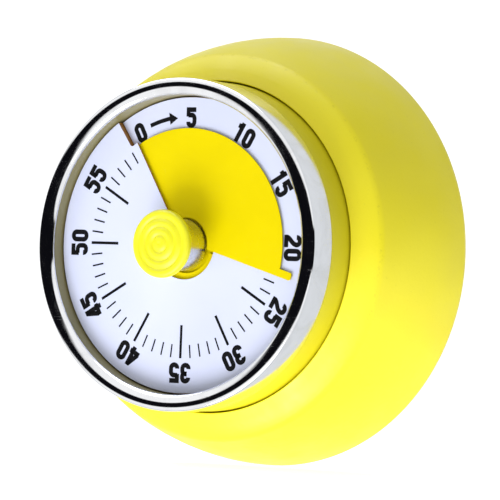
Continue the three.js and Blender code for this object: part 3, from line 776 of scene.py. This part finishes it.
DIAL_R = 26.8
DIAL_HOLE_R = 6.2
DIAL_STEPS = 306
DISC_R = 21.2
SOFT_EDGE = 0.06  # rounding along the edges of the dial and the disc
NOTCH = (4.0, 8.0)  # width and length of the cutter that cuts back the sheet's upper end
NOTCH_GAP = 0.2  # from the disc's edge to the notch
PRINT_T = 0.03  # the print stands this far out of the dial, and goes as deep into it


def on_dial(angle, radius, lift=0.0):
    """Local right, up and outwards at a place on the dial's face, as a matrix."""
    turn = ZERO_TURN + angle
    slope = RISE / (TURN * radius)
    out = dial_out(angle) + DIAL_T / 2 + lift
    c, s = math.cos(turn), math.sin(turn)
    return Matrix((
        (c, s, 0, radius * s),
        (-slope, 0, -1, -out),
        (-s, c, 0, radius * c),
        (0, 0, 0, 1),
    ))


def dial_sheet():
    """A climbing sheet whose ends overlap, its upper end cut back outside the disc."""
    low = dial_out(DIAL_START) - DIAL_T / 2
    section = sheet_section(DIAL_HOLE_R, DIAL_R, low, DIAL_T, SOFT_EDGE)
    bm = climbing(section, DIAL_START, DIAL_SPAN, DIAL_STEPS)
    width, length = NOTCH
    place = on_dial(TURN + NOTCH_AT, DISC_R + NOTCH_GAP + length / 2)
    place = place @ Matrix.Translation((width / 2, 0, 0))
    return combined(bm, block((width, length, 3 * DIAL_T), place, 0.5), "DIFFERENCE")


LONG_MARK = (14.47, 20.45, 0.5)  # inner radius, outer radius and width
SHORT_MARK = (18.07, 20.45, 0.28)


def minute_marks():
    """Sixty printed lines; each fifth is longer and heavier."""
    marks = []
    for minute in range(60):
        inner, outer, width = SHORT_MARK if minute % 5 else LONG_MARK
        place = on_dial(TURN * minute / 60, (inner + outer) / 2)
        marks.append(block((width, outer - inner, 2 * PRINT_T), place))
    return gathered(marks)


DIGIT_H = 3.73
DIGIT_W = 2.2
DIGIT_PITCH = 2.46
STROKE = 0.86
NUMERAL_R = 23.1
ZERO_SHIFT = math.radians(1.3)  # the 0 stands a little clockwise of its mark
SIDE = (DIGIT_W - STROKE) / 2
TOP = (DIGIT_H - STROKE) / 2
EDGE = DIGIT_H / 2
BEND = 0.64

# Each figure as lines of corners (right, up, rounding) about its centre; True closes a line.
FIGURES = {
    "0": [(True, [(-SIDE, -TOP, BEND), (SIDE, -TOP, BEND), (SIDE, TOP, BEND), (-SIDE, TOP, BEND)])],
    "1": [
        (False, [(0.25, -EDGE, 0), (0.25, EDGE, 0)]),
        (False, [(-0.62, 1.02, 0), (-0.2, 1.05, 0.2), (0.25, 1.3, 0)]),
    ],
    "2": [
        (False, [
            (-SIDE, 0.75, 0), (-SIDE, TOP, BEND), (SIDE, TOP, BEND), (SIDE, 0.3, 0.6),
            (-0.7, -1.05, 0.4), (-0.7, -TOP, 0),
        ]),
        (False, [(-DIGIT_W / 2, -TOP, 0), (DIGIT_W / 2, -TOP, 0)]),
    ],
    "3": [
        (False, [
            (-SIDE, 0.8, 0), (-SIDE, TOP, BEND), (SIDE, TOP, BEND), (SIDE, 0.13, 0.5),
            (-0.3, 0.13, 0),
        ]),
        (False, [
            (-0.3, 0.13, 0), (SIDE, 0.13, 0.6), (SIDE, -TOP, BEND), (-SIDE, -TOP, BEND),
            (-SIDE, -0.75, 0),
        ]),
    ],
    "4": [
        (False, [(0.35, 1.65, 0), (-0.8, -0.85, 0)]),
        (False, [(-DIGIT_W / 2, -0.95, 0), (DIGIT_W / 2, -0.95, 0)]),
        (False, [(0.42, -EDGE, 0), (0.42, EDGE, 0)]),
    ],
    "5": [
        (False, [(0.98, TOP, 0), (-0.68, TOP, 0), (-0.68, 0.2, 0)]),
        (False, [
            (-0.68, 0.45, 0.0), (SIDE, 0.45, BEND), (SIDE, -TOP, BEND), (-SIDE, -TOP, BEND),
            (-SIDE, -0.75, 0),
        ]),
    ],
}


def lift(bm, extruded):
    """Raises what was extruded by the thickness of the print."""
    verts = [v for v in extruded if isinstance(v, bmesh.types.BMVert)]
    bmesh.ops.translate(bm, vec=(0, 0, 2 * PRINT_T), verts=verts)


def stroke(corners, closed, place):
    """A printed line of even width, laid at a place on the dial."""
    bm = wire([(x, y, -PRINT_T) for x, y, _ in corners], [c[2] for c in corners], closed)
    lift(bm, bmesh.ops.extrude_edge_only(bm, edges=bm.edges[:])["geom"])
    bm = reshaped(tidy(bm), "SOLIDIFY", thickness=STROKE, offset=0, use_even_offset=True)
    bmesh.ops.transform(bm, matrix=place, verts=bm.verts)
    return tidy(bm)


def numerals():
    """0 to 55 by fives, their tops outwards."""
    lines = []
    for minute in range(0, 60, 5):
        text = str(minute)
        angle = TURN * minute / 60 if minute else ZERO_SHIFT
        for index, character in enumerate(text):
            shift = (index - (len(text) - 1) / 2) * DIGIT_PITCH
            place = on_dial(angle, NUMERAL_R) @ Matrix.Translation((shift, 0, 0))
            lines += [stroke(corners, closed, place) for closed, corners in FIGURES[character]]
    return gathered(lines)


ARROW_STEPS = 24


def winding_arrow():
    """Curved arrow beside the 0 that shows which way to wind."""
    tail, neck_end, tip = (math.radians(a) for a in (7.4, 18.2, 22.6))
    radius, half, barb, lean = 23.35, 0.37, 1.1, 0.2
    low = dial_out(tail) + DIAL_T / 2 - PRINT_T
    section = sheet_section(radius - half, radius + half, low, 2 * PRINT_T)
    shaft = climbing(section, tail, neck_end - tail, ARROW_STEPS)
    length = (tip - neck_end) * radius
    head = bmesh.new()
    corners = [(-length / 2, -barb), (length / 2, -lean), (-length / 2, barb)]
    face = head.faces.new([head.verts.new((x, y, -PRINT_T)) for x, y in corners])
    lift(head, bmesh.ops.extrude_face_region(head, geom=[face])["geom"])
    place = on_dial((tip + neck_end) / 2, radius)
    bmesh.ops.transform(head, matrix=place, verts=head.verts)
    return gathered([shaft, tidy(head)])


# The sheet's edge faces wear the ramp's brown-orange painted shade, which stands in for the shadow
# in the gap at the dial's step.
EDGE_ON = 0.5  # a face that looks outwards less than this is part of an edge
dial = piece("dial", dial_sheet(), dial_white, "housing", "white_dial", "dial_plate", sharp=30)
dial.data.materials.append(ramp_plastic_painted_shade)
for face in dial.data.polygons:
    face.material_index = int(abs(face.normal.y) < EDGE_ON)
piece("minute_marks", minute_marks(), dial_ink, "housing", "black_plastic")
piece("numerals", numerals(), dial_ink, "housing", "black_plastic")
piece("winding_arrow", winding_arrow(), dial_ink, "housing", "black_plastic")

SEAT_IN, SEAT_OUT = 21.5, 26.9
SEAT_STEPS = 240
SEAT_MARGIN = math.radians(0.4)  # left open at both ends of the ramp
SEAT_LIFT = 0.05  # from the dish's floor to the ramp
SEAT_GAP = 0.1  # from the ramp to the sheet over it
seat_low = DISH_FLOOR + SEAT_LIFT
seat_start = DIAL_START + SEAT_MARGIN
seat_high = dial_out(seat_start) - DIAL_T / 2 - SEAT_GAP


def seat_shape():
    """Ramp under the dial's edge: its foot stays flat while its top climbs."""
    bm = climbing([
        (SEAT_IN, seat_low, 0.0),
        (SEAT_OUT, seat_low, 0.0),
        (SEAT_OUT, seat_high, 0.1),
        (SEAT_IN, seat_high, 0.1),
    ], seat_start, TURN - 2 * SEAT_MARGIN, SEAT_STEPS)
    for vert in bm.verts:
        if -vert.co.y < seat_low + RISE and not near_top(vert.co):
            vert.co.y = -seat_low
    return bm


def near_top(place):
    """Whether a place lies on the climbing face and not on the foot."""
    turn = math.atan2(place.x, place.z) - ZERO_TURN - seat_start
    climbed = RISE * (turn % TURN) / TURN
    return -place.y - climbed > (seat_low + seat_high) / 2


# The ramp wears the brown-orange painted shade of yellow plastic in shadow.
piece("dial_ramp", seat_shape(), ramp_plastic_painted_shade, "housing", "yellow_plastic", "dial_seat")

# ---- disc, hub and knob -----------------------------------------------------------------------

DISC_HOLE_R = 5.0
DISC_SPAN = TURN - math.radians(2)  # a little short of a whole turn
DISC_SPARE = math.radians(2.4)  # extra length, trimmed off along the leading edge
DISC_STEPS = 300
EDGE_SKEW = math.radians(3.2)  # the leading edge runs forward as it goes out
EDGE_PIVOT_R = 13.3
TRIM_W = 2.0
TAB_R = 23.8
TAB_W = 1.4
TAB_ROOT = 1  # how far the tab reaches into the disc
leading = TURN * SHOWN_MINUTES / 60


def disc_shape():
    """The coloured disc, trimmed along its leading edge, with the pointer tab at its end."""
    start = leading - DISC_SPAN
    low = disc_out(start) - DISC_T / 2
    section = sheet_section(DISC_HOLE_R, DISC_R, low, DISC_T, SOFT_EDGE)
    disc = climbing(section, start, DISC_SPAN + DISC_SPARE, DISC_STEPS)
    edge = on_dial(leading, EDGE_PIVOT_R, RISE / 2 - DIAL_T / 2)
    edge = edge @ Matrix.Rotation(-EDGE_SKEW, 4, "Z")

    def beside(shift, middle_r):
        """A place at a shift from the leading edge, along it to a middle radius."""
        return edge @ Matrix.Translation((shift, middle_r - EDGE_PIVOT_R, 0))

    ahead = beside(TRIM_W / 2, (DISC_HOLE_R + DISC_R) / 2)
    disc = combined(disc, block((TRIM_W, DISC_R, 4 * DISC_T), ahead), "DIFFERENCE")
    length = TAB_R - DISC_R + TAB_ROOT
    behind = beside(-TAB_W / 2, TAB_R - length / 2)
    return combined(disc, block((TAB_W, length, DISC_T), behind, 0.4), "UNION")


piece("disc", disc_shape(), disc_plastic, "disc", "yellow_plastic", "timer_disc", sharp=30)

hub = Extent("disc_hub")
HUB_BORE_R = 1.8
piece(
    "hub",
    turned([
        (HUB_BORE_R, hub.back, 0.08),
        (hub.radius, hub.back, 0.08),
        (hub.radius, hub.front, 0.1),
        (HUB_BORE_R, hub.front, 0.08),
    ], steps=SMALL),
    disc_plastic, "disc", "yellow_plastic", "disc_hub",
)

SPINDLE_BORE_R = 1.9
piece(
    "stem",
    turned([
        (SPINDLE_BORE_R, stem.back, 0.1),
        (stem.radius, stem.back, 0.2),
        (stem.radius, stem.front, 0.15),
        (SPINDLE_BORE_R, stem.front, 0.1),
    ], steps=SMALL),
    stem_chrome, "spindle", "chrome", "knob_stem",
)


KNOB_RINGS = 4
KNOB_CROWN = 0.35  # fall of the knob's face from its centre to its rim
VALLEY = 0.32  # depth of the valleys between the rings
BANK = 0.34  # run of a valley's side, as a share of a ring
DIMPLE = 0.28  # radius of the centre's dimple, as a share of a ring


def knob_shape():
    """Domed cap whose face is four soft rings."""
    ring = knob.radius / KNOB_RINGS
    corners = [(0, knob.back, 0.0), (knob.radius, knob.back, 0.3)]
    corners.append((knob.radius, knob.front - KNOB_CROWN - 0.05, 0.55))
    for valley in range(KNOB_RINGS - 1, 0, -1):
        radius = knob.radius * valley / KNOB_RINGS
        crown = KNOB_CROWN * (radius / knob.radius) ** 2
        high = knob.front - crown
        corners.append((radius + ring * BANK, high, 0.3))
        corners.append((radius, high - VALLEY, 0.12))
        corners.append((radius - ring * BANK, high, 0.3))
    corners.append((ring * DIMPLE, knob.front, 0.15))
    corners.append((0, knob.front - VALLEY * 0.4, 0.0))
    return turned(corners, closed=False, steps=SMALL)


piece("knob", knob_shape(), knob_plastic, "spindle", "yellow_plastic", "knob_cap", sharp=50)

# ---- movement, carried over from the CAD ------------------------------------------------------

# Each CAD node that isn't replaced shows its own solid in the finish of its slot.
SLOT_FINISH = {
    # Painted shade: yellow paint and yellow plastic parts wear the darker neck and dish copies.
    "brass": plate_brass, "steel": steel, "yellow_paint": neck_enamel_painted_shade,
    "yellow_plastic": dish_plastic_painted_shade, "chrome": stem_chrome, "magnet": magnet_ferrite,
    "rubber": grip_rubber, "black_plastic": cover_black, "white_dial": dial_white,
}
for part in frame["record"]["subparts"]:
    shown = frame["nodes"][part["node"]]
    shown.data.materials.clear()
    shown.data.materials.append(SLOT_FINISH[part["material_slot"]])

# ---- studio -----------------------------------------------------------------------------------


def stage(name, bm, material):
    """A thing of the studio, which isn't part of the timer."""
    mesh = bpy.data.meshes.new(name)
    bm.to_mesh(mesh)
    bm.free()
    mesh.materials.append(material)
    obj = bpy.data.objects.new(name, mesh)
    bpy.context.scene.collection.objects.link(obj)
    return obj


def paper(name, colour):
    """Matt studio paper that glows, so that it stays pale in shade."""
    f = Finish(name)
    tone = f.mixed(f.noise(3, 3).ramp(0.3, 0.7), colour, tuple(c * 0.985 for c in colour))
    return f.principled(
        Base_Color=tone, Roughness=0.9, Specular_IOR_Level=0.0,
        Emission_Color=tone, Emission_Strength=0.9,
    )


FLOOR_REACH = 6.0
FLOOR_GAP = 0.0003
floor = bmesh.new()
bmesh.ops.create_grid(floor, x_segments=1, y_segments=1, size=FLOOR_REACH)
bmesh.ops.translate(floor, vec=(0, 0, loaded_box[0].z - FLOOR_GAP), verts=floor.verts)
ground = stage("floor", floor, paper("floor paper", (0.93, 0.93, 0.93)))
ground.visible_shadow = False
ground.visible_glossy = False


BAND_AT = 0.01  # height of the dark band's middle, as a direction
BAND_EDGE = (0.16, 0.22)  # above and below that, where it starts to fade and where it is gone


def surroundings():
    """White all round, with a dark band in front at eye level for the chrome to mirror."""
    f = Finish("studio", world=True)
    direction = f.node("ShaderNodeTexCoord", output="Generated")
    split = f.node("ShaderNodeSeparateXYZ", {}, {"Vector": direction})
    y, z = (Signal(f, split.socket.node.outputs[axis]) for axis in "YZ")
    dark = (1 - abs(z - BAND_AT).ramp(*BAND_EDGE)) * (0 - y).ramp(-0.15, -0.05)
    bright = f.mixed((0 - y).ramp(0.0, 0.5), (0.84, 0.87, 0.89), (1.12, 1.13, 1.13))
    mirrored = f.mixed(dark, bright, (0.004, 0.004, 0.006))
    rays = f.node("ShaderNodeLightPath").socket.node.outputs
    camera_ray, glossy_ray = Signal(f, rays["Is Camera Ray"]), Signal(f, rays["Is Glossy Ray"])
    tone = f.mixed(glossy_ray, (0.28, 0.28, 0.285), mirrored)
    tone = f.mixed(camera_ray, tone, (1.15, 1.15, 1.15))
    background = f.node("ShaderNodeBackground", {}, {"Color": tone, "Strength": 1.0})
    f.node("ShaderNodeOutputWorld", {}, {"Surface": background})
    bpy.context.scene.world = f.owner


AIM = Vector((0, -0.02, 0))  # the lights point at the middle of the timer


def softbox(name, place, size, power):
    light = bpy.data.lights.new(name, "AREA")
    light.shape = "RECTANGLE"
    light.size, light.size_y = size
    light.energy = power
    obj = bpy.data.objects.new(name, light)
    obj.location = place
    obj.rotation_euler = (AIM - Vector(place)).to_track_quat("-Z", "Y").to_euler()
    bpy.context.scene.collection.objects.link(obj)


surroundings()
softbox("key_below", (-0.05, -0.68, -0.60), (0.5, 0.5), 5.4)
softbox("overhead", (-0.3, -0.15, 0.72), (0.7, 0.7), 4.0)

# ---- camera -----------------------------------------------------------------------------------

CAMERA_AT = Vector((0.4337, -0.6659, -0.0138))
CAMERA_RIGHT = Vector((0.8332, 0.5517, 0.0391))
CAMERA_UP = Vector((-0.0230, -0.0362, 0.9990))
CAMERA_BACK = Vector((0.5526, -0.8332, -0.0174))
LENS = 305.7
SENSOR = 36

camera_data = bpy.data.cameras.new("camera")
camera_data.lens = LENS
camera_data.sensor_width = SENSOR
camera_data.clip_start = 0.01
camera = bpy.data.objects.new("camera", camera_data)
bpy.context.scene.collection.objects.link(camera)
turn = Matrix((CAMERA_RIGHT, CAMERA_UP, CAMERA_BACK)).transposed().to_4x4()
camera.matrix_world = Matrix.Translation(CAMERA_AT) @ turn
bpy.context.scene.camera = camera
bpy.context.scene.view_settings.view_transform = "Standard"
